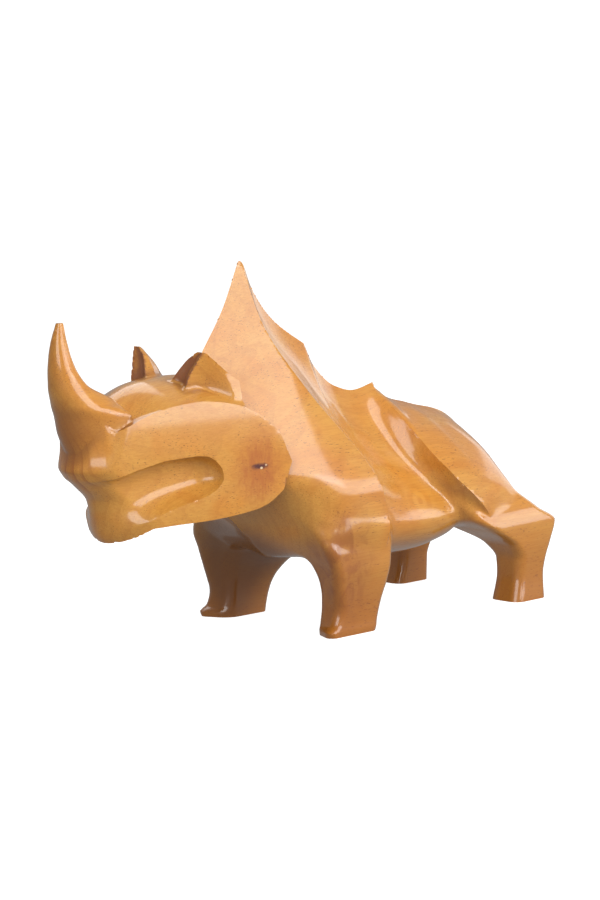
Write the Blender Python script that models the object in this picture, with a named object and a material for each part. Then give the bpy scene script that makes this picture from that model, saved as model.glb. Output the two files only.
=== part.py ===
"""Carved rhinoceros, one block of wood, standing on four feet.

The figure faces -X, its left side is -Y and its feet stand on z = 0.
Every size of the carving is a share: one hundredth of the figure's height.
The form is a field that is negative in the wood, worked out for the side y >= 0
and mirrored, and its zero surface is laid with faces that keep the crisp arrises.
"""
import bmesh
import bpy
import numpy as np

HEIGHT = 0.232                 # feet to the tip of the hump, metres
SHARE = HEIGHT / 97.6          # metres in one share of the carving
CELL = 1.1                     # lattice step, shares
FACES = 9400                   # triangles kept
WOOD = (0.62, 0.36, 0.15, 1.0)

# Stations of the rails: (height, place along x, half width) in shares.
SHOULDER = [(15, 16, 25), (21, 19.4, 26), (28, 20.2, 27), (37, 18.2, 26.8), (46, 14, 24),
            (54, 8.8, 20), (64, 2.4, 14.8), (82, -4.8, 5), (98, -7.8, 0)]
THIGH = [(15, 71.5, 27), (21, 66.6, 27), (30, 57.6, 26), (37, 51, 23), (43.3, 47.4, 18), (52.6, 45.2, 9),
         (61.2, 43.9, 0), (70, 43.5, 0)]
# Front arris of the chest and hump: (height, place along x, fullness of the panel behind it).
BREAST = [(16, 5, 8), (24, -4.5, 7.5), (30, -10.5, 4.6), (38, -22, 3.2), (46, -36, 2.6), (60, -33, 1.9),
          (75.9, -21.8, 1.1), (86, -14.5, 1), (98, -8.6, 1)]
# Skyline in three arcs between the tips: (x, height).
HUMP_LINE = [(-7.8, 98.2), (-6.7, 97), (-4.1, 91.6), (0.4, 85.3), (5.3, 80.9), (16.4, 74.3)]
BACK_LINE = [(16.4, 74.3), (20, 68.3), (28.7, 61.7), (36, 59.9), (43.9, 61.2)]
RUMP_LINE = [(43.9, 61.2), (46, 60.1), (49, 57.8), (52.4, 56), (59.5, 53.7), (72, 50.4),
             (83, 42.4), (87, 36.5)]
EASY_LINE = [(-8, 97), (10, 77.5), (22, 68), (36, 60.5), (50, 58), (70, 51), (87, 36)]
BELLY_LINE = [(-5, 25), (2, 19), (10, 18.4), (20, 17), (32, 15.4), (45, 14.8), (56, 16),
              (66, 19.5), (90, 21)]
RUMP_END = [(14, 80), (24, 87), (31, 88.6), (38, 87.4), (48, 78.5), (56, 66), (100, 62)]
# Half width of the trunk by depth under the skyline.
FLANK_FALL = [(0, 0), (8, 4), (16, 9.8), (24, 16.6), (32, 21), (40, 22.5)]
RUMP_FALL = [(0, 0), (3, 6.5), (10, 16), (20, 23.8), (33, 27.2)]
# Legs: (height, front of the outer side, front of the inner side, rear,
#        inner side in front, inner side behind, outer side).
FORE_LEG = [(0, 0, 4.2, 19.6, 15.8, 15.6, 24.4), (1.2, -0.4, 4.1, 19.8, 15.8, 15.6, 24.6),
            (3, 2.2, 4.2, 20.2, 15.8, 15.6, 24.5), (7, 3.7, 4.4, 21, 16, 15, 24.8),
            (10, 3, 4.5, 21.8, 16, 13.8, 25.2), (13, 2.2, 4.2, 22.8, 15.8, 11.5, 25.6),
            (18, 0.9, 3.4, 23.6, 13.8, 5, 26.2), (22, -0.8, 1.8, 23.8, 9, 1, 26.2),
            (27, -2.4, -2, 22.5, 4, 0, 24.4), (34, -4, -6, 19, 0, 0, 19)]
HIND_LEG = [(0, 74.2, 74.2, 88, 16.4, 16.4, 26.8), (7, 76, 76, 88.2, 16.4, 16.4, 26.2),
            (11, 76.1, 76.1, 89, 16, 15.5, 26.4), (15, 73.6, 73.6, 90.4, 14, 13, 26.8),
            (20.2, 64.4, 64.4, 92.2, 9, 9, 27), (24, 58, 58, 86, 5, 5, 26), (30, 56, 56, 79, 0, 0, 22),
            (40, 56, 56, 74, 0, 0, 12)]
LEG_CORNER = 3
# Head: outline of the cheek in side view, front of the muzzle by height, crown and lips along x.
CHEEK_WEDGE = (4.8, 0.262, 82)       # half width, its gain along x, and where it is counted from
PROW = (2.2, 1.6)                    # half width of the muzzle's front, and its gain behind
MUZZLE = [(29.4, -52), (31.2, -56.6), (33.4, -58), (37, -59), (42, -60.4), (46, -64.4), (49, -67.6),
          (51, -68.9), (54.7, -67.9), (66, -64)]
CHEEK_TOP = [(-68, 56.5), (-60, 60.6), (-46.8, 65), (-38, 65.8), (-27.6, 64.3), (-16.7, 57),
             (-12.6, 48.6)]
CHEEK_LOW = [(-60, 30.4), (-57.4, 30.8), (-54, 32.9), (-50.5, 35.4), (-36, 35.8), (-23.1, 37.2),
             (-15.6, 40.8), (-12.6, 48.6)]
CHEEK_BACK = [(35, -30), (38.9, -18.5), (44.3, -13.3), (48.6, -12.6), (57, -16.7), (64.5, -27.6),
              (66.2, -34)]
CROWN = [(-66, 60), (-55.3, 67.4), (-43.5, 70.8), (-34, 71), (-18, 68.5), (-8, 64)]
NOTCH = 2.5                          # the crown draws in by this much behind the horn
# Mouth: (x, upper lip, lower lip, depth).
MOUTH = [(-70, 47.3, 28, 3), (-65, 48, 29, 3.6), (-60.7, 49.2, 31, 4), (-56, 50.5, 34.6, 4.4),
         (-52, 51.4, 37.4, 4.6), (-48, 52.1, 39.2, 4.7), (-40, 52.4, 41.3, 4.7), (-32, 51.2, 43.3, 4.2)]
MOUTH_END = (-32.2, 5)               # where the channel stops, and the reach of its rounded end
SWELL = (52, 14, 1.5, 41, 9, 1)      # cheek rolling in above and below: from, over, by
# Horn: (height, front, broadest place, rear, half width, roundness of its rear edges).
HORN = [(50, -65, -55, -54.6, 4, 0.5), (54.9, -68, -55, -54.6, 6.8, 0.5),
        (60.5, -70.2, -55.2, -54.6, 9.2, 0.5), (64.4, -71.1, -56.5, -54.6, 9.1, 0.5),
        (65.9, -71.6, -60, -54.7, 8.3, 0.7), (67.2, -72, -64, -55.4, 7, 1.2),
        (72.3, -73.8, -68, -64.2, 4.5, 2.2), (77, -74, -70.6, -67.2, 3.2, 2),
        (82, -73.6, -71.3, -69, 2.1, 1.4), (87.6, -72, -71.1, -70.2, 0.8, 0.5)]
# Ear: ridge along x, front by height, and how far it reaches in and out by depth under the ridge.
EAR_TIP = (-34, 11.5, 77.6)
EAR_RIDGE = [(-36, 77.6), (-34, 77.6), (-31, 75.6), (-28, 72.4), (-24.8, 69.8)]
EAR_FRONT = [(64, -38), (70, -37.4), (75, -35.4), (77.6, -34.2)]
EAR_FALL = [(0, 1, 0.9), (2.2, 2.8, 1.1), (5.3, 3.6, 1.3), (8, 3.9, 1.9), (14, 5, 3)]
EAR_LEAN = 0.42                      # gain in half width for each share of height
EAR_SWEEP = 0.36                     # gain in half width for each share behind the tip
EAR_SCOOP = 0.2                      # depth of the hollow in its front for each share of its thickness
TILT = (0.0252, 14.9, 35)            # rise for each share behind the place, from this height up
NAPE = -24.8                         # rear face of crown and ears


def curve(t, stations, column=1):
    """Smooth curve through the stations without overshoot, straight beyond both ends."""
    table = np.asarray(stations, float)
    u, v = table[:, 0], table[:, column]
    h = np.diff(u)
    s = np.diff(v) / h
    m = np.empty_like(v)
    m[0], m[-1] = s[0], s[-1]
    w1, w2 = 2 * h[1:] + h[:-1], h[1:] + 2 * h[:-1]
    same = s[:-1] * s[1:] > 0
    both = np.where(same, w1 * s[1:] + w2 * s[:-1], 1.0)
    m[1:-1] = np.where(same, (w1 + w2) * s[:-1] * s[1:] / both, 0.0)
    i = np.clip(np.searchsorted(u, t) - 1, 0, len(h) - 1)
    a = (t - u[i]) / h[i]
    body = v[i] * (1 + 2 * a) * (1 - a) ** 2 + m[i] * h[i] * a * (1 - a) ** 2
    body += v[i + 1] * a * a * (3 - 2 * a) + m[i + 1] * h[i] * a * a * (a - 1)
    body = np.where(t < u[0], v[0] + m[0] * (t - u[0]), body)
    return np.where(t > u[-1], v[-1] + m[-1] * (t - u[-1]), body)


def blend(a, b, k):
    """The lesser of two fields, rounded over k where they meet."""
    h = np.clip(0.5 + 0.5 * (b - a) / k, 0, 1)
    return b * (1 - h) + a * h - k * h * (1 - h)


def ease(t, a, b):
    """Rises smoothly from 0 at a to 1 at b."""
    u = np.clip((t - a) / (b - a), 0, 1)
    return u * u * (3 - 2 * u)


def highest(*fields):
    """The greatest of several fields: the form they have in common."""
    out = fields[0]
    for f in fields[1:]:
        out = np.maximum(out, f)
    return out


def skyline(x):
    """Height of the back: three arcs that meet in the tips of the spine."""
    back = np.where(x < BACK_LINE[-1][0], curve(x, BACK_LINE), curve(x, RUMP_LINE))
    return np.where(x < HUMP_LINE[-1][0], curve(x, HUMP_LINE), back)


def depth(x, z):
    """Depth under the skyline; the tips of the spine fade out further down."""
    d = skyline(x) - z
    return np.maximum(d + (curve(x, EASY_LINE) - skyline(x)) * ease(d, 3, 22), 0)


def flank_width(x, z):
    """Half width between the shoulder ridge and the thigh ridge, hollowed towards both."""
    xs, ys = curve(z, SHOULDER), np.maximum(curve(z, SHOULDER, 2), 0)
    xh, yh = curve(z, THIGH), np.maximum(curve(z, THIGH, 2), 0)
    flank = curve(depth(x, z), FLANK_FALL) * (0.75 + 0.25 * ease(x, -6, 8))
    reach = 3 + 15 * ease(z, 22, 60)
    u = np.clip((x - xs) / reach, 0, 1)
    stand = np.maximum(ys - curve(depth(xs, z), FLANK_FALL) * (0.75 + 0.25 * ease(xs, -6, 8)), 0)
    flank = flank + stand * (1 - u) ** 2.2
    u = np.clip((xh - x) / (3 + 6 * ease(z, 8, 36)), 0, 1)
    stand = np.maximum(yh - curve(depth(xh, z), FLANK_FALL), 0)
    return flank + stand * (1 - u) ** 3


def breast_width(x, z):
    """Half width of the panel between the front arris and the shoulder ridge."""
    xs, ys = curve(z, SHOULDER), np.maximum(curve(z, SHOULDER, 2), 0)
    xf, full = curve(z, BREAST), curve(z, BREAST, 2)
    w = np.clip((xs - x) / np.maximum(xs - xf, 0.2), 0, 1)
    return ys * (1 - w ** full)


def rump_width(x, z):
    """Half width behind the thigh ridge: a dome that closes at the tail end."""
    xh, yh = curve(z, THIGH), np.maximum(curve(z, THIGH, 2), 0)
    stand = yh - curve(depth(xh, z), RUMP_FALL)
    u = np.clip((x - xh) / 12, 0, 1)
    dome = curve(depth(x, z), RUMP_FALL) + stand * (1 - u) ** 1.5
    back = np.clip((curve(z, RUMP_END) - x) / 16, 0, 1)
    return dome * np.sqrt(1 - (1 - back) ** 2)


def trunk_width(x, z):
    """Half width of the whole trunk, rounded in under the belly."""
    width = np.where(x < curve(z, THIGH), flank_width(x, z), rump_width(x, z))
    width = np.where(x < curve(z, SHOULDER), breast_width(x, z), width)
    rise = np.clip((z - curve(x, BELLY_LINE)) / 12, 0, 1)
    return width * np.sqrt(1 - (1 - rise) ** 2)


def trunk(x, y, z):
    """Field of the body from the breast to the rump with the hump."""
    side = (y - trunk_width(x, z)) * 0.8
    ends = highest((curve(z, BREAST) - x) * 0.6, (x - curve(z, RUMP_END)) * 0.8)
    return highest(side, ends, (z - skyline(x)) * 0.6, curve(x, BELLY_LINE) - z)


def leg(x, y, z, stations):
    """Field of one leg: a column with rounded corners whose sides follow the stations."""
    front, rear, outer = curve(z, stations, 2), curve(z, stations, 3), curve(z, stations, 6)
    along = np.clip((x - front) / np.maximum(rear - front, 1), 0, 1)
    inner = curve(z, stations, 4) * (1 - along) + curve(z, stations, 5) * along
    slant = np.clip((y - inner) / np.maximum(outer - inner, 1), 0, 1)
    front = curve(z, stations) * slant + front * (1 - slant)
    qx = np.abs(x - (front + rear) / 2) - (rear - front) / 2 + LEG_CORNER
    qy = np.abs(y - (inner + outer) / 2) - (outer - inner) / 2 + LEG_CORNER
    d = np.hypot(np.maximum(qx, 0), np.maximum(qy, 0)) + np.minimum(highest(qx, qy), 0) - LEG_CORNER
    return highest(d * 0.85, z - stations[-1][0])


def face_width(x, z, hollow=0):
    """Half width of the head: a wedge rolled in above and below, closed by a blunt prow."""
    half, gain, start = CHEEK_WEDGE
    high, above, roll, low, under, tuck = SWELL
    wedge = half + gain * (x + start)
    wedge = wedge - roll * np.clip((z - high) / above, 0, 1.4) ** 2
    wedge = wedge - tuck * np.clip((low - z) / under, 0, 1.4) ** 2 - hollow
    behind = np.maximum(x - curve(z, MUZZLE), 0)
    start = np.clip(behind / 1.6, 0, 1)
    return blend(wedge, PROW[0] * np.sqrt(start * (2 - start)) + PROW[1] * behind, 5)


def mouth(x, z):
    """Depth of the channel of the mouth, steepest under the upper lip."""
    top, low = curve(x, MOUTH), curve(x, MOUTH, 2)
    end = np.clip((MOUTH_END[0] - x) / MOUTH_END[1], 0, 1)
    round_end = np.sqrt(end * (2 - end))
    middle, half = 0.4 * top + 0.6 * low, np.maximum((top - low) * round_end, 0.1)
    t = np.clip((z - middle) / half + 0.4, 0, 1)
    return 1.15 * t ** 0.8 * np.sqrt(1 - t ** 6) * curve(x, MOUTH, 3) * round_end


def head(x, y, z):
    """Field of the head: the flat cheeks with their crisp rim, and the arched crown between them."""
    width = face_width(x, z)
    side = (y - face_width(x, z, mouth(x, z))) * 0.8
    rim = highest(z - curve(x, CHEEK_TOP), curve(x, CHEEK_LOW) - z, curve(z, MUZZLE) - x,
                  x - curve(z, CHEEK_BACK)) * 0.75
    over = np.maximum(curve(x, CROWN) - curve(x, CHEEK_TOP), 0)
    across = np.clip(y / np.maximum(width - NOTCH * ease(-x, 46, 56), 1), 0, 1)
    arch = curve(x, CHEEK_TOP) + over * (1 - across ** 1.8)
    crown = highest(side, (z - arch) * 0.8, 50 - z, -62 - x, x - NAPE)
    return np.minimum(highest(side, rim), crown)


def horn(x, y, z):
    """Field of the horn: sections strung up a curve, round in front and flatter behind."""
    front, broad, rear = curve(z, HORN), curve(z, HORN, 2), curve(z, HORN, 3)
    wide, edge = np.maximum(curve(z, HORN, 4), 0.2), curve(z, HORN, 5)
    reach = np.where(x < broad, broad - front, 1.02 * (rear - broad) + 0.5)
    q = np.hypot((x - broad) / reach, y / wide)
    side = (q - 1) * np.minimum((rear - front) / 2, wide) * 0.7
    return highest(-blend(-side, rear - x, edge), z - HORN[-1][0], HORN[0][0] - z)


def ear(x, y, z):
    """Field of one ear: it leans outwards, broadens to the inside and is hollowed in front."""
    tip_x, tip_y, tip_z = EAR_TIP
    rim = tip_y + EAR_SWEEP * np.maximum(x - tip_x, 0) - EAR_LEAN * (tip_z - z) * (1 - ease(x, -34, -26))
    under, front = curve(x, EAR_RIDGE) - z, curve(z, EAR_FRONT)
    heel = ease(x, -33, -25)
    inner = rim - curve(under, EAR_FALL) * (1 + 0.9 * heel)
    outer = rim + curve(under, EAR_FALL, 2) * (1 + 1.2 * heel)
    across = np.clip((2 * y - inner - outer) / np.maximum(outer - inner, 0.2), -1, 1)
    front = front + EAR_SCOOP * (outer - inner) * (1 - across ** 2) ** 2
    return highest((y - outer) * 0.8, (inner - y) * 0.7, -under * 0.7, (front - x) * 0.7, x - NAPE,
                   62 - z, y - face_width(x, z) + 1.2)


def figure(x, y, z):
    """Field of the whole carving, the feet cut level."""
    y = np.abs(y)
    level, z = z, z - TILT[0] * (x - TILT[1]) * ease(z, 0, TILT[2])
    body = blend(trunk(x, y, z), leg(x, y, z, FORE_LEG), 5.5)
    body = blend(body, leg(x, y, z, HIND_LEG), 4)
    top = blend(head(x, y, z), horn(x, y, z), 0.3 + 3 * ease(-x, 60, 64) * (1 - ease(-x, 66, 68.5)))
    top = blend(top, ear(x, y, z), 1)
    return highest(blend(body, top, 0.5), -level)


def slopes(p):
    """Unit direction in which the field grows fastest at the points p."""
    e = 0.02
    g = np.empty_like(p)
    for axis in range(3):
        d = np.zeros(3)
        d[axis] = e
        g[:, axis] = figure(*(p + d).T) - figure(*(p - d).T)
    return g / np.maximum(np.linalg.norm(g, axis=1, keepdims=True), 1e-9)


def lattice(step):
    """Field values on a box lattice over the half y >= 0, and the lattice's first corner."""
    xs = np.arange(-84, 100, step)
    ys = np.arange(0, 34, step)
    zs = np.arange(-0.5 * step, 104, step)
    values = np.empty((len(xs), len(ys), len(zs)))
    grid_y, grid_z = np.meshgrid(ys, zs, indexing="ij")
    for i, x in enumerate(xs):
        flat = figure(np.full(grid_y.size, x), grid_y.ravel(), grid_z.ravel())
        values[i] = flat.reshape(grid_y.shape)
    return values, np.array([xs[0], ys[0], zs[0]])


def crossings(values, corner, step, axis):
    """Lattice edges along one axis that pass through the surface, and where they cross it."""
    low, high = [slice(None)] * 3, [slice(None)] * 3
    low[axis], high[axis] = slice(0, -1), slice(1, None)
    start = np.argwhere((values[tuple(low)] < 0) != (values[tuple(high)] < 0))
    unit = np.eye(3, dtype=int)[axis]
    f0, f1 = values[tuple(start.T)], values[tuple((start + unit).T)]
    inward = f1 < 0
    t0, t1 = np.zeros(len(start)), np.ones(len(start))
    for turn in range(6):
        t = (t0 + t1) / 2 if turn % 2 else t0 + (t1 - t0) * f0 / (f0 - f1)
        v = figure(*(corner + (start + t[:, None] * unit) * step).T)
        same = (v < 0) == (f0 < 0)
        t0, f0 = np.where(same, t, t0), np.where(same, v, f0)
        t1, f1 = np.where(same, t1, t), np.where(same, f1, v)
    t = t0 + (t1 - t0) * f0 / (f0 - f1)
    return start, corner + (start + t[:, None] * unit) * step, inward


def half_surface(step):
    """Points and four-sided faces of the half y >= 0, one point to each lattice cell on the surface."""
    values, corner = lattice(step)
    cells = np.array(values.shape) - 1
    rings, points = [], []
    for axis in range(3):
        start, p, inward = crossings(values, corner, step, axis)
        u, w = np.eye(3, dtype=int)[(axis + 1) % 3], np.eye(3, dtype=int)[(axis + 2) % 3]
        ring = np.stack([start - u - w, start - w, start, start - u], 1)
        ring = np.where(inward[:, None, None], ring[:, ::-1], ring)
        rings.append(ring)
        points.append(p)
    rings, points = np.concatenate(rings), np.concatenate(points)
    number = (rings[..., 0] * cells[1] + rings[..., 1]) * cells[2] + rings[..., 2]
    number[rings[..., 1] < 0] = -1
    used, where = np.unique(number, return_inverse=True)
    where = where.reshape(number.shape)
    gap = int(used[0] == -1)
    inside = (number >= 0).ravel()
    who, source = where.ravel()[inside] - gap, np.repeat(np.arange(len(points)), 4)[inside]
    used = used[gap:]
    count = np.bincount(who, minlength=len(used)).astype(float)
    mean = np.stack([np.bincount(who, points[source, c]) for c in range(3)], 1) / count[:, None]
    place = np.stack([used // (cells[1] * cells[2]), used // cells[2] % cells[1], used % cells[2]], 1)
    seam_cell = np.zeros(len(used), bool)
    cut = (number < 0).any(1)
    seam_cell[where[cut][number[cut] >= 0] - gap] = True
    mean[seam_cell, 1] = 0
    normal = slopes(points + np.array([0, 1e-3, 0]))[source]
    reach = ((points[source] - mean[who]) * normal).sum(1)
    square = np.empty((len(used), 3, 3))
    pull = np.empty((len(used), 3))
    for a in range(3):
        pull[:, a] = np.bincount(who, normal[:, a] * reach)
        for b in range(3):
            square[:, a, b] = np.bincount(who, normal[:, a] * normal[:, b])
    square += np.eye(3) * 0.03 * count[:, None, None]
    square[seam_cell, 1, 1] += 1e6
    spot = mean + np.linalg.solve(square, pull[..., None])[..., 0]
    first = corner + place * step
    spot = np.clip(spot, first + 0.02 * step, first + 0.98 * step)
    spot[seam_cell, 1] = 0
    spot[place[:, 2] == 0, 2] = 0
    return spot, where[~cut] - gap, seam_cell


def surface(step):
    """Points and faces of the whole carving: the half and its mirror, joined along the seam.

    Where two faces of the half share an edge of the seam, that edge gets a point of its own
    off the seam, so that the mirrored faces don't fall on the same edge.
    """
    spot, faces, seam = half_surface(step)
    faces = faces.tolist()
    shared = {}
    for face in faces:
        for a, b in zip(face, face[1:] + face[:1]):
            if seam[a] and seam[b]:
                shared[min(a, b), max(a, b)] = shared.get((min(a, b), max(a, b)), 0) + 1
    doubled = sorted(edge for edge, uses in shared.items() if uses == 2)
    extra = {edge: len(spot) + i for i, edge in enumerate(doubled)}
    middles = [(spot[a] + spot[b]) / 2 + (0, 0.3 * step, 0) for a, b in doubled]
    spot = np.concatenate([spot, np.array(middles).reshape(-1, 3)])
    seam = np.concatenate([seam, np.zeros(len(middles), bool)])
    for face in faces:
        for i in range(len(face) - 1, -1, -1):
            a, b = face[i], face[(i + 1) % len(face)]
            if (min(a, b), max(a, b)) in extra:
                face.insert(i + 1, extra[min(a, b), max(a, b)])
    other = np.arange(len(spot))
    other[~seam] = len(spot) + np.arange((~seam).sum())
    mirrored = spot[~seam] * (1, -1, 1)
    return np.concatenate([spot, mirrored]), faces + [other[face[::-1]].tolist() for face in faces]


def drop_slivers(mesh):
    """Takes away faces that hang by a single edge beside the closed surface."""
    work = bmesh.new()
    work.from_mesh(mesh)
    loose = [face for face in work.faces if sum(edge.is_boundary for edge in face.edges) > 1]
    bmesh.ops.delete(work, geom=loose, context="FACES")
    work.to_mesh(mesh)
    work.free()


def carve():
    """Adds the rhinoceros to the scene, feet on z = 0, centred over its bounds."""
    spot, faces = surface(CELL)
    low, high = spot.min(0), spot.max(0)
    spot = (spot - [(low[0] + high[0]) / 2, 0, 0]) * SHARE
    mesh = bpy.data.meshes.new("rhinoceros")
    mesh.from_pydata(spot.tolist(), [], faces)
    carving = bpy.data.objects.new("rhinoceros", mesh)
    bpy.context.collection.objects.link(carving)
    fewer = carving.modifiers.new("fewer", "DECIMATE")
    fewer.ratio = FACES / (2 * len(faces))
    fewer.use_collapse_triangulate = True
    ready = carving.evaluated_get(bpy.context.evaluated_depsgraph_get())
    simple = bpy.data.meshes.new_from_object(ready)
    carving.modifiers.clear()
    carving.data = simple
    drop_slivers(simple)
    simple.name = "rhinoceros"
    simple.polygons.foreach_set("use_smooth", np.ones(len(simple.polygons), bool))
    simple.set_sharp_from_angle(angle=0.6)
    return carving


def varnished_wood():
    """Material of the carving."""
    wood = bpy.data.materials.new("varnished_wood")
    wood.use_nodes = True
    shader = wood.node_tree.nodes["Principled BSDF"]
    shader.inputs["Base Color"].default_value = WOOD
    shader.inputs["Roughness"].default_value = 0.3
    return wood


for old in list(bpy.data.objects):
    bpy.data.objects.remove(old, do_unlink=True)
carve().data.materials.append(varnished_wood())
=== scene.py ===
import math

import bpy
import numpy as np
from mathutils import Matrix, Vector


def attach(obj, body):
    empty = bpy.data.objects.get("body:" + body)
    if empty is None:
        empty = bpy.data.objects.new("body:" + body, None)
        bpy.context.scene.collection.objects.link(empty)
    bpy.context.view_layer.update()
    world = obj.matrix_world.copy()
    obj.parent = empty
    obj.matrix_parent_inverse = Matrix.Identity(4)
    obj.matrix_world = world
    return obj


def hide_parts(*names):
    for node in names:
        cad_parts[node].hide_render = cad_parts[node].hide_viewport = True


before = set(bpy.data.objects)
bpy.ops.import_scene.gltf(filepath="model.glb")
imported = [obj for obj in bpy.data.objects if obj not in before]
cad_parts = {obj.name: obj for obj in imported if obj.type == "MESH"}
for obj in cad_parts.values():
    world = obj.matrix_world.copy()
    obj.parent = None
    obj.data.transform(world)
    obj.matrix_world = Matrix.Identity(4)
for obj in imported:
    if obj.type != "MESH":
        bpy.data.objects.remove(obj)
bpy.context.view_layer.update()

# The rhinoceros: one block of pale, close-grained hardwood with its grain from nose to tail.
# It is carved and sanded to smooth hollows that meet in crisp ridges, then given a clear gloss varnish.
# Its sizes are shares, hundredths of the figure's height, and it stands on its own feet.
HEIGHT = 0.232                       # feet to the tip of the hump, metres
SHARE = HEIGHT / 97.6                # metres in one share
CELL = 0.66                          # lattice step, shares
HOLD = 0.03                          # weight that holds a point to the mean of the crossings beside it
MARGIN = 0.02                        # nearest that a point comes to the wall of its cell, cells
CRISP = 32                           # ridges over this angle stay crisp, degrees

# Stations of the rails: (height, place along x, half width) in shares.
SHOULDER = [(15, 16, 25), (21, 19.4, 26), (28, 20.2, 27), (37, 18.2, 26.8), (46, 14, 24),
            (54, 8.8, 20), (64, 2.4, 14.8), (82, -4.8, 5), (98, -7.8, 0)]
THIGH = [(15, 71.5, 27), (21, 66.6, 27), (30, 57.6, 26), (37, 51, 23), (43.3, 47.4, 18), (52.6, 45.2, 9),
         (61.2, 43.9, 0), (70, 43.5, 0)]
# Front arris of the chest and hump: (height, place along x, fullness of the panel behind it).
BREAST = [(16, 5, 8), (24, -4.5, 7.5), (30, -10.5, 4.6), (38, -22, 3.2), (46, -36, 2.6), (60, -33, 1.9),
          (75.9, -21.8, 1.1), (86, -14.5, 1), (98, -8.6, 1)]
# Skyline in three arcs between the tips: (x, height).
HUMP_LINE = [(-7.8, 98.2), (-6.7, 97), (-4.1, 91.6), (0.4, 85.3), (5.3, 80.9), (16.4, 74.3)]
BACK_LINE = [(16.4, 74.3), (20, 68.3), (28.7, 61.7), (36, 59.9), (43.9, 61.2)]
RUMP_LINE = [(43.9, 61.2), (46, 60.1), (49, 57.8), (52.4, 56), (59.5, 53.7), (72, 50.4),
             (83, 42.4), (87, 36.5)]
# The line that depth is counted from further down, where the tips have faded out.
EASY_LINE = [(-8, 97), (10, 77.5), (22, 68), (36, 60.5), (50, 58), (70, 51), (87, 36)]
BELLY_LINE = [(-5, 25), (2, 19), (10, 18.4), (20, 17), (32, 15.4), (45, 14.8), (56, 16),
              (66, 19.5), (90, 21)]
RUMP_END = [(14, 80), (24, 87), (31, 88.6), (38, 87.4), (48, 78.5), (56, 66), (100, 62)]
# Half width of the trunk by depth under the skyline.
FLANK_FALL = [(0, 0), (8, 4), (16, 9.8), (24, 16.6), (32, 21), (40, 22.5)]
RUMP_FALL = [(0, 0), (3, 6.5), (10, 16), (20, 23.8), (33, 27.2)]
# Legs: (height, front of the outer side, front of the inner side, rear,
#        inner side in front, inner side behind, outer side).
FORE_LEG = [(0, 0, 4.2, 19.6, 15.8, 15.6, 24.4), (1.2, -0.4, 4.1, 19.8, 15.8, 15.6, 24.6),
            (3, 2.2, 4.2, 20.2, 15.8, 15.6, 24.5), (7, 3.7, 4.4, 21, 16, 15, 24.8),
            (10, 3, 4.5, 21.8, 16, 13.8, 25.2), (13, 2.2, 4.2, 22.8, 15.8, 11.5, 25.6),
            (18, 0.9, 3.4, 23.6, 13.8, 5, 26.2), (22, -0.8, 1.8, 23.8, 9, 1, 26.2),
            (27, -2.4, -2, 22.5, 4, 0, 24.4), (34, -4, -6, 19, 0, 0, 19)]
HIND_LEG = [(0, 74.2, 74.2, 88, 16.4, 16.4, 26.8), (7, 76, 76, 88.2, 16.4, 16.4, 26.2),
            (11, 76.1, 76.1, 89, 16, 15.5, 26.4), (15, 73.6, 73.6, 90.4, 14, 13, 26.8),
            (20.2, 64.4, 64.4, 92.2, 9, 9, 27), (24, 58, 58, 86, 5, 5, 26), (30, 56, 56, 79, 0, 0, 22),
            (40, 56, 56, 74, 0, 0, 12)]
LEG_CORNER = 3
# Head: outline of the cheek in side view, front of the muzzle by height, crown along x.
CHEEK_WEDGE = (4.8, 0.262, 82)       # half width, its gain along x, and where it is counted from
PROW = (2.2, 1.6)                    # half width of the muzzle's front, and its gain behind
MUZZLE = [(29.4, -52), (31.2, -56.6), (33.4, -58), (37, -59), (42, -60.4), (46, -64.4), (49, -67.6),
          (51, -68.9), (54.7, -67.9), (66, -64)]
CHEEK_TOP = [(-68, 56.5), (-60, 60.6), (-46.8, 65), (-38, 65.8), (-27.6, 64.3), (-16.7, 57),
             (-12.6, 48.6)]
CHEEK_LOW = [(-60, 30.4), (-57.4, 30.8), (-54, 32.9), (-50.5, 35.4), (-36, 35.8), (-23.1, 37.2),
             (-15.6, 40.8), (-12.6, 48.6)]
CHEEK_BACK = [(35, -30), (38.9, -18.5), (44.3, -13.3), (48.6, -12.6), (57, -16.7), (64.5, -27.6),
              (66.2, -34)]
CROWN = [(-66, 60), (-55.3, 67.4), (-43.5, 70.8), (-34, 71), (-18, 68.5), (-8, 64)]
NOTCH = 2.5                          # the crown draws in by this much behind the horn
# Mouth: (x, upper lip, lower lip, depth).
MOUTH = [(-70, 47.3, 28, 3), (-65, 48, 29, 3.6), (-60.7, 49.2, 31, 4), (-56, 50.5, 34.6, 4.4),
         (-52, 51.4, 37.4, 4.6), (-48, 52.1, 39.2, 4.7), (-40, 52.4, 41.3, 4.7), (-32, 51.2, 43.3, 4.2)]
MOUTH_END = (-32.2, 5)               # where the channel stops, and the reach of its rounded end
SWELL = (52, 14, 1.5, 41, 9, 1)      # cheek rolling in above and below: from, over, by
# Horn: (height, front, broadest place, rear, half width, roundness of its rear edges).
HORN = [(50, -65, -55, -54.6, 4, 0.5), (54.9, -68, -55, -54.6, 6.8, 0.5),
        (60.5, -70.2, -55.2, -54.6, 9.2, 0.5), (64.4, -71.1, -56.5, -54.6, 9.1, 0.5),
        (65.9, -71.6, -60, -54.7, 8.3, 0.7), (67.2, -72, -64, -55.4, 7, 1.2),
        (72.3, -73.8, -68, -64.2, 4.5, 2.2), (77, -74, -70.6, -67.2, 3.2, 2),
        (82, -73.6, -71.3, -69, 2.1, 1.4), (87.6, -72, -71.1, -70.2, 0.8, 0.5)]
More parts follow.
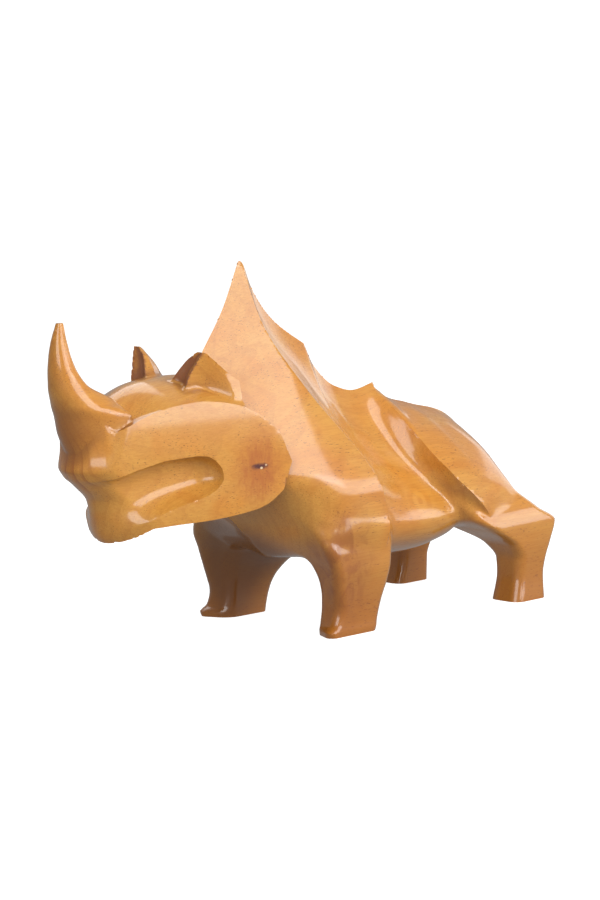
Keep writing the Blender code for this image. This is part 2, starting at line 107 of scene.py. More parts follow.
# Ear: ridge along x, front by height, and how far it reaches in and out by depth under the ridge.
EAR_TIP = (-34, 11.5, 77.6)
EAR_RIDGE = [(-36, 77.6), (-34, 77.6), (-31, 75.6), (-28, 72.4), (-24.8, 69.8)]
EAR_FRONT = [(64, -38), (70, -37.4), (75, -35.4), (77.6, -34.2)]
EAR_FALL = [(0, 1, 0.9), (2.2, 2.8, 1.1), (5.3, 3.6, 1.3), (8, 3.9, 1.9), (14, 5, 3)]
EAR_LEAN = 0.42                      # gain in half width for each share of height
EAR_SWEEP = 0.36                     # gain in half width for each share behind the tip
EAR_SCOOP = 0.2                      # depth of the hollow in its front for each share of its thickness
TILT = (0.0252, 14.9, 35)            # rise for each share behind the place, from this height up
NAPE = -24.8                         # rear face of crown and ears
# How far each join is rounded: leg to trunk, ear to head, head to trunk, prow to cheek.
FORE_JOIN, HIND_JOIN, EAR_JOIN, NECK_JOIN, PROW_JOIN = 5.5, 4, 1, 0.5, 5
HORN_JOIN = (0.3, 3)                 # horn to head: all round, and the gain at the front of its foot
# A field is negative in the wood and gains about 1 in each share outwards. The factors under 1
# that the fields of slanting faces carry see to that.


def curve(t, stations, column=1):
    """Smooth curve through the stations without overshoot, straight beyond both ends."""
    table = np.asarray(stations, float)
    u, v = table[:, 0], table[:, column]
    h = np.diff(u)
    s = np.diff(v) / h
    m = np.empty_like(v)
    m[0], m[-1] = s[0], s[-1]
    w1, w2 = 2 * h[1:] + h[:-1], h[1:] + 2 * h[:-1]
    same = s[:-1] * s[1:] > 0
    both = np.where(same, w1 * s[1:] + w2 * s[:-1], 1.0)
    m[1:-1] = np.where(same, (w1 + w2) * s[:-1] * s[1:] / both, 0.0)
    i = np.clip(np.searchsorted(u, t) - 1, 0, len(h) - 1)
    a = (t - u[i]) / h[i]
    body = v[i] * (1 + 2 * a) * (1 - a) ** 2 + m[i] * h[i] * a * (1 - a) ** 2
    body += v[i + 1] * a * a * (3 - 2 * a) + m[i + 1] * h[i] * a * a * (a - 1)
    body = np.where(t < u[0], v[0] + m[0] * (t - u[0]), body)
    return np.where(t > u[-1], v[-1] + m[-1] * (t - u[-1]), body)


def blend(a, b, k):
    """The lesser of two fields, rounded over k where they meet."""
    h = np.clip(0.5 + 0.5 * (b - a) / k, 0, 1)
    return b * (1 - h) + a * h - k * h * (1 - h)


def ease(t, a, b):
    """Rises smoothly from 0 at a to 1 at b."""
    u = np.clip((t - a) / (b - a), 0, 1)
    return u * u * (3 - 2 * u)


def highest(*fields):
    """The greatest of several fields: the form they have in common."""
    out = fields[0]
    for f in fields[1:]:
        out = np.maximum(out, f)
    return out


def skyline(x):
    """Height of the back: three arcs that meet in the tips of the spine."""
    back = np.where(x < BACK_LINE[-1][0], curve(x, BACK_LINE), curve(x, RUMP_LINE))
    return np.where(x < HUMP_LINE[-1][0], curve(x, HUMP_LINE), back)


def depth(x, z):
    """Depth under the skyline; the tips of the spine fade out further down."""
    d = skyline(x) - z
    return np.maximum(d + (curve(x, EASY_LINE) - skyline(x)) * ease(d, 3, 22), 0)


def flank_width(x, z):
    """Half width between the shoulder ridge and the thigh ridge, hollowed towards both."""
    xs, ys = curve(z, SHOULDER), np.maximum(curve(z, SHOULDER, 2), 0)
    xh, yh = curve(z, THIGH), np.maximum(curve(z, THIGH, 2), 0)
    flank = curve(depth(x, z), FLANK_FALL) * (0.75 + 0.25 * ease(x, -6, 8))
    reach = 3 + 15 * ease(z, 22, 60)
    u = np.clip((x - xs) / reach, 0, 1)
    stand = np.maximum(ys - curve(depth(xs, z), FLANK_FALL) * (0.75 + 0.25 * ease(xs, -6, 8)), 0)
    flank = flank + stand * (1 - u) ** 2.2
    u = np.clip((xh - x) / (3 + 6 * ease(z, 8, 36)), 0, 1)
    stand = np.maximum(yh - curve(depth(xh, z), FLANK_FALL), 0)
    return flank + stand * (1 - u) ** 3


def breast_width(x, z):
    """Half width of the panel between the front arris and the shoulder ridge."""
    xs, ys = curve(z, SHOULDER), np.maximum(curve(z, SHOULDER, 2), 0)
    xf, full = curve(z, BREAST), curve(z, BREAST, 2)
    w = np.clip((xs - x) / np.maximum(xs - xf, 0.2), 0, 1)
    return ys * (1 - w ** full)


def rump_width(x, z):
    """Half width behind the thigh ridge: a dome that closes at the tail end."""
    xh, yh = curve(z, THIGH), np.maximum(curve(z, THIGH, 2), 0)
    stand = yh - curve(depth(xh, z), RUMP_FALL)
    u = np.clip((x - xh) / 12, 0, 1)
    dome = curve(depth(x, z), RUMP_FALL) + stand * (1 - u) ** 1.5
    back = np.clip((curve(z, RUMP_END) - x) / 16, 0, 1)
    return dome * np.sqrt(1 - (1 - back) ** 2)


def trunk_width(x, z):
    """Half width of the whole trunk, rounded in under the belly."""
    width = np.where(x < curve(z, THIGH), flank_width(x, z), rump_width(x, z))
    width = np.where(x < curve(z, SHOULDER), breast_width(x, z), width)
    rise = np.clip((z - curve(x, BELLY_LINE)) / 12, 0, 1)
    return width * np.sqrt(1 - (1 - rise) ** 2)


def trunk(x, y, z):
    """Field of the body from the breast to the rump with the hump."""
    side = (y - trunk_width(x, z)) * 0.8
    ends = highest((curve(z, BREAST) - x) * 0.6, (x - curve(z, RUMP_END)) * 0.8)
    return highest(side, ends, (z - skyline(x)) * 0.6, curve(x, BELLY_LINE) - z)


def leg(x, y, z, stations):
    """Field of one leg: a column with rounded corners whose sides follow the stations."""
    front, rear, outer = curve(z, stations, 2), curve(z, stations, 3), curve(z, stations, 6)
    along = np.clip((x - front) / np.maximum(rear - front, 1), 0, 1)
    inner = curve(z, stations, 4) * (1 - along) + curve(z, stations, 5) * along
    slant = np.clip((y - inner) / np.maximum(outer - inner, 1), 0, 1)
    front = curve(z, stations) * slant + front * (1 - slant)
    qx = np.abs(x - (front + rear) / 2) - (rear - front) / 2 + LEG_CORNER
    qy = np.abs(y - (inner + outer) / 2) - (outer - inner) / 2 + LEG_CORNER
    d = np.hypot(np.maximum(qx, 0), np.maximum(qy, 0)) + np.minimum(highest(qx, qy), 0) - LEG_CORNER
    return highest(d * 0.85, z - stations[-1][0])


def face_width(x, z, hollow=0):
    """Half width of the head: a wedge rolled in above and below, closed by a blunt prow."""
    half, gain, start = CHEEK_WEDGE
    high, above, roll, low, under, tuck = SWELL
    wedge = half + gain * (x + start)
    wedge = wedge - roll * np.clip((z - high) / above, 0, 1.4) ** 2
    wedge = wedge - tuck * np.clip((low - z) / under, 0, 1.4) ** 2 - hollow
    behind = np.maximum(x - curve(z, MUZZLE), 0)
    start = np.clip(behind / 1.6, 0, 1)
    return blend(wedge, PROW[0] * np.sqrt(start * (2 - start)) + PROW[1] * behind, PROW_JOIN)


def mouth(x, z):
    """Depth of the mouth's channel: soon deep above the lower lip, closed steeply under the upper one."""
    top, low = curve(x, MOUTH), curve(x, MOUTH, 2)
    end = np.clip((MOUTH_END[0] - x) / MOUTH_END[1], 0, 1)
    round_end = np.sqrt(end * (2 - end))
    middle, half = 0.4 * top + 0.6 * low, np.maximum((top - low) * round_end, 0.1)
    t = np.clip((z - middle) / half + 0.4, 0, 1)
    fall = 1 - (1 - np.minimum(t / 0.4, 1)) ** 2 + 0.1 * t
    return fall * np.sqrt(1 - t ** 8) * curve(x, MOUTH, 3) * round_end


def head(x, y, z):
    """Field of the head: the flat cheeks with their crisp rim, and the arched crown between them."""
    width = face_width(x, z)
    side = (y - face_width(x, z, mouth(x, z))) * 0.8
    rim = highest(z - curve(x, CHEEK_TOP), curve(x, CHEEK_LOW) - z, curve(z, MUZZLE) - x,
                  x - curve(z, CHEEK_BACK)) * 0.75
    over = np.maximum(curve(x, CROWN) - curve(x, CHEEK_TOP), 0)
    across = np.clip(y / np.maximum(width - NOTCH * ease(-x, 46, 56), 1), 0, 1)
    arch = curve(x, CHEEK_TOP) + over * (1 - across ** 1.8)
    crown = highest(side, (z - arch) * 0.8, 50 - z, -62 - x, x - NAPE)
    return np.minimum(highest(side, rim), crown)


def horn(x, y, z):
    """Field of the horn: sections strung up a curve, round in front and flatter behind."""
    front, broad, rear = curve(z, HORN), curve(z, HORN, 2), curve(z, HORN, 3)
    wide, edge = np.maximum(curve(z, HORN, 4), 0.2), curve(z, HORN, 5)
    reach = np.where(x < broad, broad - front, 1.02 * (rear - broad) + 0.5)
    q = np.hypot((x - broad) / reach, y / wide)
    side = (q - 1) * np.minimum((rear - front) / 2, wide) * 0.7
    return highest(-blend(-side, rear - x, edge), z - HORN[-1][0], HORN[0][0] - z)


def ear(x, y, z):
    """Field of one ear: it leans outwards, broadens to the inside and is hollowed in front."""
    tip_x, tip_y, tip_z = EAR_TIP
    rim = tip_y + EAR_SWEEP * np.maximum(x - tip_x, 0) - EAR_LEAN * (tip_z - z) * (1 - ease(x, -34, -26))
    under, front = curve(x, EAR_RIDGE) - z, curve(z, EAR_FRONT)
    heel = ease(x, -33, -25)
    inner = rim - curve(under, EAR_FALL) * (1 + 0.9 * heel)
    outer = rim + curve(under, EAR_FALL, 2) * (1 + 1.2 * heel)
    across = np.clip((2 * y - inner - outer) / np.maximum(outer - inner, 0.2), -1, 1)
    front = front + EAR_SCOOP * (outer - inner) * (1 - across ** 2) ** 2
    return highest((y - outer) * 0.8, (inner - y) * 0.7, -under * 0.7, (front - x) * 0.7, x - NAPE,
                   62 - z, y - face_width(x, z) + 1.2)


def figure(x, y, z):
    """Field of the whole carving, the feet cut level."""
    y = np.abs(y)
    level, z = z, z - TILT[0] * (x - TILT[1]) * ease(z, 0, TILT[2])
    body = blend(trunk(x, y, z), leg(x, y, z, FORE_LEG), FORE_JOIN)
    body = blend(body, leg(x, y, z, HIND_LEG), HIND_JOIN)
    horn_join = HORN_JOIN[0] + HORN_JOIN[1] * ease(-x, 60, 64) * (1 - ease(-x, 66, 68.5))
    top = blend(head(x, y, z), horn(x, y, z), horn_join)
    top = blend(top, ear(x, y, z), EAR_JOIN)
    return highest(blend(body, top, NECK_JOIN), -level)


def slopes(p, e=0.02):
    """Unit normals: the central differences of the field at the points p."""
    g = np.empty_like(p)
    for axis in range(3):
        d = np.zeros(3)
        d[axis] = e
        g[:, axis] = figure(*(p + d).T) - figure(*(p - d).T)
    return g / np.maximum(np.linalg.norm(g, axis=1, keepdims=True), 1e-9)


def lattice(step):
    """Field values over the half y >= 0 on a lattice of that step, and the lattice's first corner."""
    xs, ys, zs = np.arange(-84, 100, step), np.arange(0, 34, step), np.arange(-0.5 * step, 104, step)
    values = np.empty((len(xs), len(ys), len(zs)))
    grid_y, grid_z = np.meshgrid(ys, zs, indexing="ij")
    for i, x in enumerate(xs):
        flat = figure(np.full(grid_y.size, x), grid_y.ravel(), grid_z.ravel())
        values[i] = flat.reshape(grid_y.shape)
    return values, np.array([xs[0], ys[0], zs[0]])


def crossings(values, corner, step, axis):
    """Where the lattice edges along one axis pass through the surface, found by false position."""
    low, high = [slice(None)] * 3, [slice(None)] * 3
    low[axis], high[axis] = slice(0, -1), slice(1, None)
    start = np.argwhere((values[tuple(low)] < 0) != (values[tuple(high)] < 0))
    unit = np.eye(3, dtype=int)[axis]
    f0, f1 = values[tuple(start.T)], values[tuple((start + unit).T)]
    inward = f1 < 0
    t0, t1 = np.zeros(len(start)), np.ones(len(start))
    for turn in range(6):
        t = (t0 + t1) / 2 if turn % 2 else t0 + (t1 - t0) * f0 / (f0 - f1)
        v = figure(*(corner + (start + t[:, None] * unit) * step).T)
        same = (v < 0) == (f0 < 0)
        t0, f0 = np.where(same, t, t0), np.where(same, v, f0)
        t1, f1 = np.where(same, t1, t), np.where(same, f1, v)
    t = t0 + (t1 - t0) * f0 / (f0 - f1)
    return start, corner + (start + t[:, None] * unit) * step, inward


def half_surface(step):
    """One point in each cell on the surface, where the planes that touch it there meet by least squares.

    Each lattice edge that crosses the surface gives a face through the four cells around it.
    """
    values, corner = lattice(step)
    cells = np.array(values.shape) - 1
    rings, points = [], []
    for axis in range(3):
        start, p, inward = crossings(values, corner, step, axis)
        u, w = np.eye(3, dtype=int)[(axis + 1) % 3], np.eye(3, dtype=int)[(axis + 2) % 3]
        ring = np.stack([start - u - w, start - w, start, start - u], 1)
        rings.append(np.where(inward[:, None, None], ring[:, ::-1], ring))
        points.append(p)
    rings, points = np.concatenate(rings), np.concatenate(points)
    number = (rings[..., 0] * cells[1] + rings[..., 1]) * cells[2] + rings[..., 2]
    number[rings[..., 1] < 0] = -1
    used, where = np.unique(number, return_inverse=True)
    where = where.reshape(number.shape)
    gap = int(used[0] == -1)
    inside = (number >= 0).ravel()
    who, source = where.ravel()[inside] - gap, np.repeat(np.arange(len(points)), 4)[inside]
    used = used[gap:]
    count = np.bincount(who, minlength=len(used)).astype(float)
    mean = np.stack([np.bincount(who, points[source, c]) for c in range(3)], 1) / count[:, None]
    place = np.stack([used // (cells[1] * cells[2]), used // cells[2] % cells[1], used % cells[2]], 1)
    seam = np.zeros(len(used), bool)
    cut = (number < 0).any(1)
    seam[where[cut][number[cut] >= 0] - gap] = True
    mean[seam, 1] = 0
    normal = slopes(points + np.array([0, 1e-3, 0]))[source]
    reach = ((points[source] - mean[who]) * normal).sum(1)
    square, pull = np.empty((len(used), 3, 3)), np.empty((len(used), 3))
    for a in range(3):
        pull[:, a] = np.bincount(who, normal[:, a] * reach)
        for b in range(3):
            square[:, a, b] = np.bincount(who, normal[:, a] * normal[:, b])
    square += np.eye(3) * HOLD * count[:, None, None]
    square[seam, 1, 1] += 1e6
    spot = mean + np.linalg.solve(square, pull[..., None])[..., 0]
    first = corner + place * step
    spot = np.clip(spot, first + MARGIN * step, first + (1 - MARGIN) * step)
    spot[seam, 1] = 0
    spot[place[:, 2] == 0, 2] = 0
    return spot, where[~cut] - gap, seam


def whole_surface(step):
    """The half and its mirror image, joined along the seam, each face cut along its truer diagonal.

    The truer diagonal is the one whose middle lies nearer to the surface, so it follows the ridges.
    An edge of the seam that two faces of the half share gets a point of its own off the seam.
    """
    spot, quad, seam = half_surface(step)
    off = np.abs(figure(*((spot[quad[:, 0]] + spot[quad[:, 2]]) / 2).T))
    other = np.abs(figure(*((spot[quad[:, 1]] + spot[quad[:, 3]]) / 2).T))
    quad = np.where((other < off)[:, None], quad[:, [1, 2, 3, 0]], quad)
    tri = np.concatenate([quad[:, [0, 1, 2]], quad[:, [0, 2, 3]]])
    edge = np.concatenate([tri[:, [0, 1]], tri[:, [1, 2]], tri[:, [2, 0]]])
    name = edge.min(1) * len(spot) + edge.max(1)
    both = seam[edge].all(1)
    found, uses = np.unique(name[both], return_counts=True)
    doubled = found[uses == 2]
    owner = np.where(both & np.isin(name, doubled))[0]
    middle = (spot[doubled // len(spot)] + spot[doubled % len(spot)]) / 2 + (0, 0.3 * step, 0)
    fresh = len(spot) + np.searchsorted(doubled, name[owner])
    spot, seam = np.concatenate([spot, middle]), np.concatenate([seam, np.zeros(len(middle), bool)])
    faces = tri.tolist()
    for row, point in zip(owner.tolist(), fresh.tolist()):
        face = faces[row % len(tri)]
        a, b = edge[row].tolist()
        at = max(i for i in range(len(face)) if {face[i], face[(i + 1) % len(face)]} == {a, b})
        face.insert(at + 1, point)
    mirror = np.arange(len(spot))
    mirror[~seam] = len(spot) + np.arange((~seam).sum())
    mirror = mirror.tolist()
    faces += [[mirror[i] for i in face[::-1]] for face in faces]
    return np.concatenate([spot, spot[~seam] * (1, -1, 1)]), faces


# The wood's pattern, laid out in shares. Grain: how often it repeats in a share along x, y and z.
CLOUDS, PATCHES = (0.035, 0.06, 0.06), (0.05, 0.11, 0.09)
FIBRES, PORES, PORE_DRIFT = (0.10, 2.1, 2.1), (0.62, 4.6, 4.6), (0.08, 0.22, 0.22)
PITH_BEND, LEG_VEINS, HALO_VEINS = (0.018, 0.05, 0.05), (0.16, 0.14, 0.12), (0.7, 0.2, 0.13)
PITH = ((16.0, 40.0), (-14.0, 52.0))  # gain with the bend and least value, of its y and of its z
ROUGH_EDGE = (0.9, 0.9, 0.9)
# Places: centre, and reach along each axis.
SNOUT = ((-69.0, 0.0, 45.0), (11.0, 9.0, 15.0))
NEAR_LEG = ((5.0, -24.0, 19.0), (14.0, 14.0, 22.0))
# Painted shade on the chest between the front legs.
SHADED_CHEST = ((2.0, 8.0, 14.0), (24.0, 23.0, 24.0))
FLANK_RINGS = ((41.4, -20.0, 31.6), (9.0, 12.0, 7.5))
KNOT_HALO = ((-22.5, -20.0, 46.6), (8.0, 30.0, 11.5))
KNOT = ((-21.9, -20.0, 47.3), (3.1, 30.0, 0.95))
KNOT_SIDE = (-14.0, -9.0)             # the knot fades out between these places across
FOOT_SHADE = (2.0, 34.0)              # the darkening of the legs towards the feet fades out between these heights
# Painted highlights, two pale glints on the knot: place, strength, colour.
KNOT_GLINTS = [(((-21.5, -20.6, 46.8), (0.42, 30.0, 0.34)), 0.9, (0.80, 0.62, 0.40)),
          (((-20.2, -20.6, 47.5), (0.36, 30.0, 0.26)), 0.8, (0.72, 0.50, 0.30))]
# Colours of the wood, from the palest to the darkest; the tones for the hollows, the ears' cups and the chest
# are painted shade.
RING_TONE, GOLD, HONEY = (0.70, 0.34, 0.062), (0.62, 0.295, 0.054), (0.61, 0.246, 0.034)
TAN, FIBRE_TONE, HALO_TONE = (0.50, 0.175, 0.022), (0.46, 0.155, 0.02), (0.40, 0.105, 0.022)
BAND_TONE, FOOT_TONE, LEG_TONE = (0.38, 0.115, 0.018), (0.34, 0.108, 0.014), (0.30, 0.092, 0.018)
HOLLOW_SHADE_TONE, PORE_TONE, EAR_CUP_SHADE_TONE = (0.25, 0.082, 0.018), (0.20, 0.055, 0.012), (0.16, 0.035, 0.022)
CHEST_SHADE_TONE, KNOT_TONE = (0.13, 0.040, 0.006), (0.075, 0.018, 0.022)
# Hollows, where shade is painted: how far out they are felt for, in shares, and how much the field gains
# there in the open.
PROBES, OPEN = (2.5, 5, 9), 0.8
# Hollows of the ears, where shade is painted, each value with its soft edge: height, rear, front, distance
# from the middle plane, and how squarely they face forward.
CUP_HEIGHT, CUP_REAR, CUP_FRONT, CUP_ACROSS, CUP_FACING = (67, 69), (30, 32), (40, 42), (3.5, 5), (0.62, 0.86)


def recess(p, n):
    """How deep each point lies in a hollow: the wood met on the way out along its normal, 0 to 1."""
    met = sum(np.clip(OPEN - figure(*(p + n * d).T) / d, 0, OPEN) for d in PROBES)
    return met / (OPEN * len(PROBES))


def ear_cup(p, n):
    """1 on the forward-facing hollows of the ears, where shade is painted, 0 elsewhere."""
    near = ease(p[:, 2], *CUP_HEIGHT) * ease(-p[:, 0], *CUP_REAR) * (1 - ease(-p[:, 0], *CUP_FRONT))
    return near * ease(-n[:, 0], *CUP_FACING) * ease(np.abs(p[:, 1]), *CUP_ACROSS)


def varnished_wood(centre_x):
    """Honey-coloured hardwood under clear gloss varnish, with its grain from nose to tail.

    Growth bands are rings round a far pith, pores are short dark flecks along the grain,
    and a knot with a red-brown halo lies on the left cheek.
    """
    wood = bpy.data.materials.new("varnished_wood")
    wood.use_nodes = True
    tree = wood.node_tree
    shader = tree.nodes["Principled BSDF"]

    def feed(socket, value):
        """Links another node's socket, or sets a value."""
        if isinstance(value, bpy.types.NodeSocket):
            tree.links.new(value, socket)
        else:
            socket.default_value = value

    def add(kind, settings, *ordered, **named):
        """A node with those settings, its inputs given in order or by name."""
        made = tree.nodes.new(kind)
        for name, value in settings.items():
            setattr(made, name, value)
        for i, value in enumerate(ordered):
            feed(made.inputs[i], value)
        for name, value in named.items():
            feed(made.inputs[name.replace("_", " ")], value)
        return made

    def calc(operation, *values):
        """The result of one sum on sockets or values."""
        return add("ShaderNodeMath", {"operation": operation}, *values).outputs[0]

    def vector(operation, first, second):
        """The result of one sum on vectors."""
        return add("ShaderNodeVectorMath", {"operation": operation}, first, second).outputs[0]

    def rise(value, low, high, bottom=0.0, top=1.0):
        """Smooth rise from bottom to top while the value goes from low to high."""
        return add("ShaderNodeMapRange", {"interpolation_type": "SMOOTHSTEP"}, Value=value,
                   From_Min=low, From_Max=high, To_Min=bottom, To_Max=top).outputs[0]

    def noise(stretch, detail=2.0, rough=0.5, twist=0.0):
        """Cloudy noise that repeats so often along each axis."""
        return add("ShaderNodeTexNoise", {}, Vector=vector("MULTIPLY", place, stretch), Scale=1.0,
                   Detail=detail, Roughness=rough, Distortion=twist).outputs["Fac"]

    def waves(axis, centre, profile="SIN", **values):
        """Rings round an axis through a centre."""
        settings = {"wave_type": "RINGS", "rings_direction": axis, "wave_profile": profile}
        offset = vector("SUBTRACT", place, centre)
        return add("ShaderNodeTexWave", settings, Vector=offset, **values).outputs["Fac"]

    def tint(share, under, tone):
        """One colour laid over another by a share."""
        made = add("ShaderNodeMix", {"data_type": "RGBA"}, share)
        for socket, value in ((made.inputs[6], under), (made.inputs[7], tone)):
            feed(socket, (*value, 1) if isinstance(value, tuple) else value)
        return made.outputs[2]

    def away(spot):
        """Distance from a place's centre, with each axis measured in its own reach."""
        centre, reach = spot
        offset = vector("DIVIDE", vector("SUBTRACT", place, centre), reach)
        return add("ShaderNodeVectorMath", {"operation": "LENGTH"}, offset).outputs["Value"]

    def attribute(name):
        """A value that the mesh holds at its points."""
        return add("ShaderNodeAttribute", {"attribute_name": name}).outputs["Fac"]

    metres = add("ShaderNodeTexCoord", {}).outputs["Object"]
    place = vector("ADD", vector("DIVIDE", metres, (SHARE, SHARE, SHARE)), (centre_x, 0, 0))
    y, z = add("ShaderNodeSeparateXYZ", {}, place).outputs[1:3]

    # Ground colour: honey and gold in clouds, with tan patches.
    colour = tint(rise(noise(CLOUDS, 3.0, 0.55, 0.6), 0.36, 0.64), HONEY, GOLD)
    colour = tint(rise(noise(PATCHES, 4.0, 0.6, 1.2), 0.52, 0.74, 0, 0.55), colour, TAN)

    # Growth bands round the bent pith, strongest on the snout, and the fibre along the grain.
    bend = noise(PITH_BEND)
    pith_y, pith_z = (calc("MULTIPLY_ADD", bend, *bow) for bow in PITH)
    pith = add("ShaderNodeCombineXYZ", {}, 0.0, pith_y, pith_z).outputs[0]
    bands = waves("X", pith, "SAW", Scale=0.11, Distortion=1.6, Detail=3.0, Detail_Scale=0.35)
    strength = rise(away(SNOUT), 0.3, 1.0, 0.85, 0.16)
    colour = tint(calc("MULTIPLY", rise(bands, 0.45, 1.0), strength), colour, BAND_TONE)
    fibre = noise(FIBRES, 5.0, 0.62)
    colour = tint(rise(fibre, 0.36, 0.64, 0.0, 0.34), colour, FIBRE_TONE)

    # Darker towards the feet, darker wood in veins on the near leg, and painted shade in deep brown on the
    # chest between the front legs.
    colour = tint(rise(z, *FOOT_SHADE, 0.75, 0.0), colour, FOOT_TONE)
    veins = rise(noise(LEG_VEINS, 5.0, 0.62, 1.6), 0.42, 0.62, 0.45, 0.85)
    colour = tint(calc("MULTIPLY", rise(away(NEAR_LEG), 0.3, 1.0, 1.0, 0.0), veins), colour, LEG_TONE)
    # Painted shade: deep brown on the chest, between the front legs and under the head.
    colour = tint(rise(away(SHADED_CHEST), 0.5, 1.0, 0.78, 0.0), colour, CHEST_SHADE_TONE)

    # Pale rings in the flank.
    centre_of_rings = (FLANK_RINGS[0][0], 0.0, FLANK_RINGS[0][2])
    loops = waves("Y", centre_of_rings, Scale=0.085, Distortion=3.2, Detail=2.0, Detail_Scale=0.6)
    share = calc("MULTIPLY", rise(away(FLANK_RINGS), 0.1, 1.0, 0.45, 0.0), rise(loops, 0.1, 0.95))
    colour = tint(share, colour, RING_TONE)

    # The knot, on the left side only: a veined halo, a dark eye with a ragged edge, and two painted
    # highlights on it.
    left = rise(y, *KNOT_SIDE, 1.0, 0.0)
    ragged = calc("MULTIPLY_ADD", noise(ROUGH_EDGE, 4.0, 0.65), 0.9, -0.45)
    halo = calc("ADD", away(KNOT_HALO), calc("MULTIPLY", ragged, 0.9))
    veins = rise(noise(HALO_VEINS, 4.0, 0.6, 1.0), 0.3, 0.66, 0.5, 1.0)
    halo = calc("MULTIPLY", rise(halo, 0.3, 1.05, 0.78, 0.0), veins)
    colour = tint(calc("MULTIPLY", halo, left), colour, HALO_TONE)
    eye = calc("ADD", away(KNOT), calc("MULTIPLY", ragged, 1.3))
    colour = tint(calc("MULTIPLY", rise(eye, 0.25, 1.15, 0.95, 0.0), left), colour, KNOT_TONE)
    # Painted highlights: two pale glints on the knot.
    for glint, strength, tone in KNOT_GLINTS:
        colour = tint(calc("MULTIPLY", rise(away(glint), 0.6, 1.1, strength, 0.0), left), colour, tone)

    # Pores, thick in some places and thin in others, then painted shade in the ears' cups and in all other
    # hollows.
    pores = calc("MULTIPLY", rise(noise(PORES, 1.0, 0.4), 0.63, 0.73),
                 rise(noise(PORE_DRIFT), 0.38, 0.62, 0.2, 0.8))
    colour = tint(pores, colour, PORE_TONE)
    # Painted shade in the forward-facing hollows of the ears.
    colour = tint(calc("MULTIPLY", attribute("ear_cup"), 0.75), colour, EAR_CUP_SHADE_TONE)
    # Painted shade: each hollow is darkened by how deep it lies.
    colour = tint(rise(attribute("recess"), 0.08, 0.6, 0.0, 0.75), colour, HOLLOW_SHADE_TONE)

    feed(shader.inputs["Base Color"], colour)
    feed(shader.inputs["Roughness"], rise(fibre, 0.3, 0.7, 0.34, 0.46))
    shader.inputs["Specular IOR Level"].default_value = 0.25
    shader.inputs["Coat Weight"].default_value = 0.95
    shader.inputs["Coat Roughness"].default_value = 0.13
    height = calc("ADD", calc("MULTIPLY", pores, -1.0), calc("MULTIPLY", fibre, 0.5))
    relief = add("ShaderNodeBump", {}, Strength=0.12, Distance=0.0004, Height=height)
    feed(shader.inputs["Normal"], relief.outputs[0])
    return wood


spot, faces = whole_surface(CELL)
middle = (spot[:, 0].min() + spot[:, 0].max()) / 2
carved = bpy.data.meshes.new("carved_rhinoceros")
carved.from_pydata(((spot - (middle, 0, 0)) * SHARE).tolist(), [], faces)
carved.polygons.foreach_set("use_smooth", np.ones(len(carved.polygons), bool))
carved.set_sharp_from_angle(angle=math.radians(CRISP))
outward = slopes(spot)
# The masks of the painted shade, in the hollows and in the ears' cups, are kept at the mesh's points.
for name, shares in (("recess", recess(spot, outward)), ("ear_cup", ear_cup(spot, outward))):
    carved.attributes.new(name, "FLOAT", "POINT").data.foreach_set("value", shares)
carved.materials.append(varnished_wood(middle))
rhinoceros = bpy.data.objects.new("carved_rhinoceros", carved)
bpy.context.collection.objects.link(rhinoceros)
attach(rhinoceros, "root")
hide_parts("rhinoceros")

# The stage: a plain white sweep, a level floor that bends up into a round wall behind and all about.
# It is seen but gives no light or reflection: the soft lights and the pale studio round it do that.
FLOOR = 3                            # radius of the level floor, and of its bend, metres
WALL = 7                             # height of the round wall, metres
SIDES = 96
bend = np.linspace(0, np.pi / 2, 13)
radius = np.append(FLOOR + FLOOR * np.sin(bend), 2 * FLOOR)
height = np.append(FLOOR - FLOOR * np.cos(bend), WALL)
turn = np.arange(SIDES) * 2 * np.pi / SIDES
rings = np.stack([np.outer(radius, np.cos(turn)), np.outer(radius, np.sin(turn)),
                  np.outer(height, np.ones(SIDES))], 2).reshape(-1, 3)
here = np.arange(len(radius) - 1)[:, None] * SIDES + np.arange(SIDES)
beside = here + 1 - SIDES * (np.arange(SIDES) == SIDES - 1)
walls = np.stack([here, here + SIDES, beside + SIDES, beside], 2).reshape(-1, 4)
floor_mesh = bpy.data.meshes.new("white_floor")
floor_mesh.from_pydata(rings.tolist(), [], [list(range(SIDES))] + walls.tolist())
floor_mesh.polygons.foreach_set("use_smooth", np.ones(len(floor_mesh.polygons), bool))
white = bpy.data.materials.new("white_sweep")
white.use_nodes = True
paper = white.node_tree.nodes["Principled BSDF"]
paper.inputs["Base Color"].default_value = (0.35, 0.35, 0.35, 1)
paper.inputs["Roughness"].default_value = 0.9
paper.inputs["Emission Color"].default_value = (1, 1, 1, 1)
paper.inputs["Emission Strength"].default_value = 0.97
floor_mesh.materials.append(white)
floor = bpy.data.objects.new("white_floor", floor_mesh)
bpy.context.collection.objects.link(floor)
floor.visible_diffuse = False
floor.visible_glossy = False
floor.visible_shadow = False

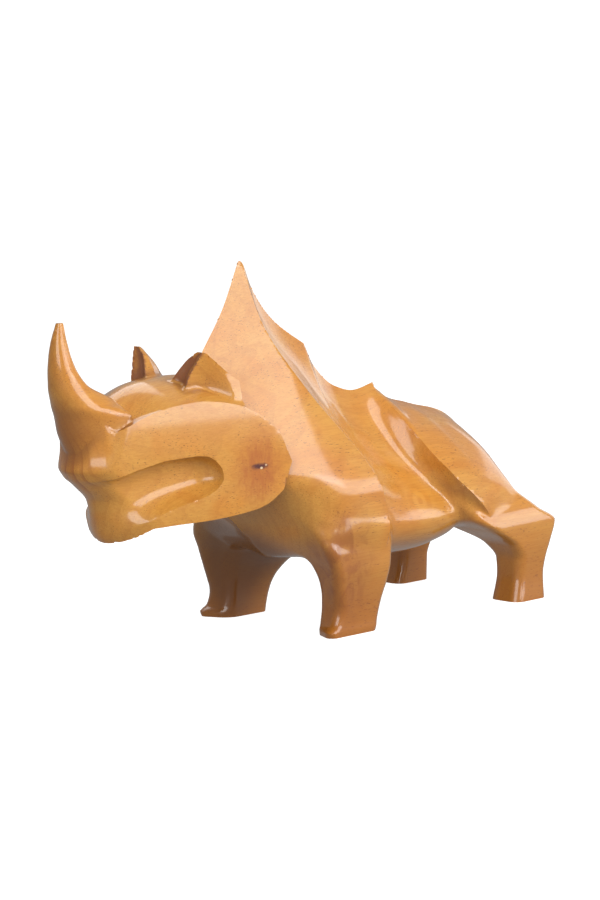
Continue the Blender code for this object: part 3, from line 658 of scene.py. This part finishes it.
# The light: a pale studio all about, a large softbox in front of the near side, and weaker ones
# behind, on the left, on the right and low down in front. Size and place in metres, power in watts.
studio = bpy.data.worlds.new("white_studio")
studio.use_nodes = True
studio.node_tree.nodes["Background"].inputs["Color"].default_value = (1, 1, 1, 1)
studio.node_tree.nodes["Background"].inputs["Strength"].default_value = 0.33
bpy.context.scene.world = studio
bpy.context.scene.view_settings.view_transform = "Standard"


def soft_light(name, place, width, height, power, aim=(0, 0, 0.11)):
    """A rectangular soft light at a place, turned towards the figure."""
    lamp = bpy.data.lights.new(name, "AREA")
    lamp.shape = "RECTANGLE"
    lamp.size, lamp.size_y, lamp.energy = width, height, power
    lit = bpy.data.objects.new(name, lamp)
    bpy.context.collection.objects.link(lit)
    lit.location = place
    lit.rotation_euler = (Vector(aim) - Vector(place)).to_track_quat("-Z", "Y").to_euler()


soft_light("front_softbox", (0.26, -1.30, 0.86), 1.0, 1.25, 16.5)
soft_light("back_softbox", (0.3, 0.9, 1.5), 1.2, 1.0, 9)
soft_light("left_softbox", (-1.40, -1.00, 0.75), 1.0, 1.0, 14)
soft_light("right_softbox", (1.45, 0.1, 0.35), 0.9, 0.45, 1.3)
soft_light("low_fill", (0.90, -1.20, 0.30), 1.2, 0.5, 6.5)

# The camera: a long lens on the photograph's line of sight, a little above the figure's back.
TURN, LIFT = math.radians(-47), math.radians(7.5)
AIM = (5.8, 0, 46)                   # what the camera looks at, shares from the figure's middle
AWAY = 797.9                         # how far it stands from there, shares
back = Vector((math.sin(TURN) * math.cos(LIFT), -math.cos(TURN) * math.cos(LIFT), math.sin(LIFT)))
right = Vector((math.cos(TURN), math.sin(TURN), 0))
up = back.cross(right)
eye = Vector(AIM) * SHARE + back * AWAY * SHARE
lens = bpy.data.cameras.new("camera")
lens.lens, lens.sensor_width = 120, 36
camera = bpy.data.objects.new("camera", lens)
bpy.context.collection.objects.link(camera)
rows = [(*row, c) for row, c in zip(zip(right, up, back), eye)]
camera.matrix_world = Matrix(rows + [(0, 0, 0, 1)])
bpy.context.scene.camera = camera
